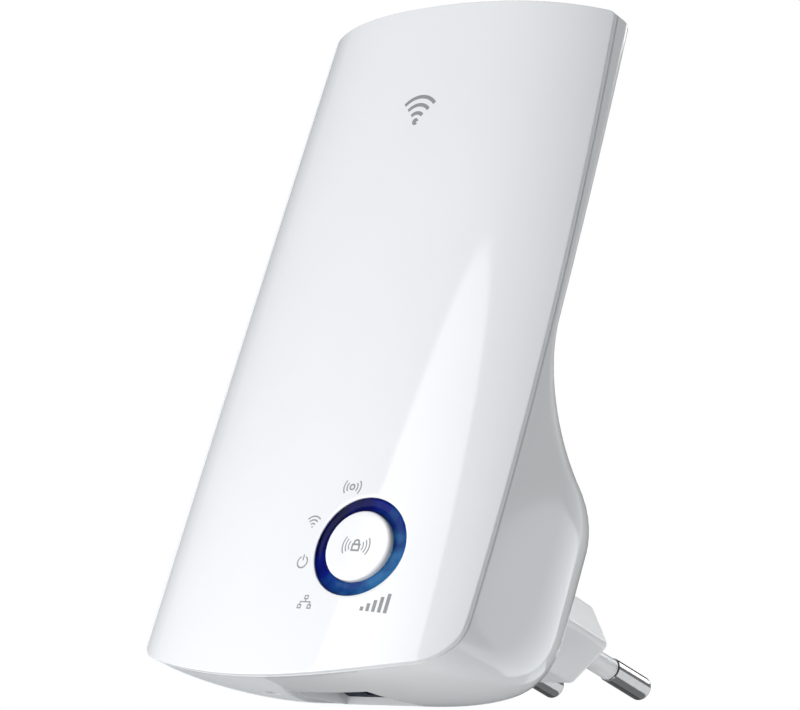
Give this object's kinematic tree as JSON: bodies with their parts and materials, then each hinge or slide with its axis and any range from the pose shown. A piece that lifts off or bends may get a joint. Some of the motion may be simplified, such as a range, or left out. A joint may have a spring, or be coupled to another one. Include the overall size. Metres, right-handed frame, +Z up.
{
  "type": "wifi range extender",
  "caption": "Plug-in wifi range extender with a tall crowned front, a bulging back that carries a two-pin plug, a lit ring around a push button and a network port underneath.",
  "frame": {"origin": "middle of the plug's end face, between the two pins, which rests on the wall socket", "axes": "+X to the right seen from the front, +Y out of the plug into the socket, +Z up along the housing"},
  "size_m": [0.0666, 0.0769, 0.1125],
  "materials": {
    "gloss_white": "polished",
    "housing_white": "polished",
    "button_white": "polished",
    "plug_white": "satin",
    "sleeve_white": "satin",
    "pin_metal": "polished",
    "ring_blue": "polished",
    "guide_clear": "polished",
    "switch_body": "satin",
    "switch_stem": "satin",
    "stem_black": "satin",
    "board_green": "satin",
    "power_board_tan": "satin",
    "tin": "satin",
    "screw_steel": "polished",
    "chip_black": "matt",
    "pad_grey": "matt",
    "led_clear": "clear",
    "jack_plastic": "satin",
    "gold_contact": "polished",
    "spring_brass": "satin",
    "ferrite": "matt",
    "bobbin": "satin",
    "winding_tape": "satin",
    "sheet_paper": "matt",
    "can_blue": "satin",
    "can_green": "satin",
    "disc_blue": "satin",
    "resistor_tan": "matt"
  },
  "bodies": {
    "root": {"front_cover": "gloss_white", "rear_housing": "housing_white", "plug_block": "plug_white", "contact_pins": "pin_metal", "pin_sleeves": "sleeve_white", "light_ring": "ring_blue", "light_guide": "guide_clear", "range_switch": "switch_body", "reset_switch": "switch_body", "main_board": "board_green", "board_screws": "screw_steel", "rf_shield": "tin", "wifi_processor": "chip_black", "heat_pad": "pad_grey", "memory_chips": "chip_black", "clock_crystal": "tin", "line_transformer": "chip_black", "ring_leds": "led_clear", "antenna_left": "tin", "antenna_right": "tin", "jack_body": "jack_plastic", "jack_contacts": "gold_contact", "power_board": "power_board_tan", "pin_springs": "spring_brass", "board_link": "gold_contact", "transformer_core": "ferrite", "transformer_bobbin": "bobbin", "transformer_winding": "winding_tape", "insulation_sheet": "sheet_paper", "bulk_capacitors": "can_blue", "output_capacitor": "can_green", "bridge_rectifier": "chip_black", "switching_controller": "chip_black", "optocoupler": "chip_black", "safety_capacitor": "disc_blue", "input_choke": "ferrite", "fuse_resistor": "resistor_tan"},
    "button": {"range_button": "button_white"},
    "switch_plunger": {"range_switch_plunger": "switch_stem"},
    "reset_pin": {"reset_plunger": "stem_black"}
  },
  "joints": [
    {"name": "range_button_press", "type": "slide", "parent": "root", "child": "button", "axis": [0, 1, 0], "range_m": [0, 0.0005], "stiffness_N_per_m": 600, "springref_m": -0.0005},
    {"name": "range_switch_press", "type": "slide", "parent": "root", "child": "switch_plunger", "axis": [0, 1, 0], "range_m": [0, 0.0005]},
    {"name": "reset_press", "type": "slide", "parent": "root", "child": "reset_pin", "axis": [0, 0, 1], "range_m": [0, 0.0003], "stiffness_N_per_m": 600, "springref_m": -0.0005}
  ],
  "couplings": [
    {"joint": "range_switch_press", "follows": "range_button_press", "ratio": 1}
  ]
}
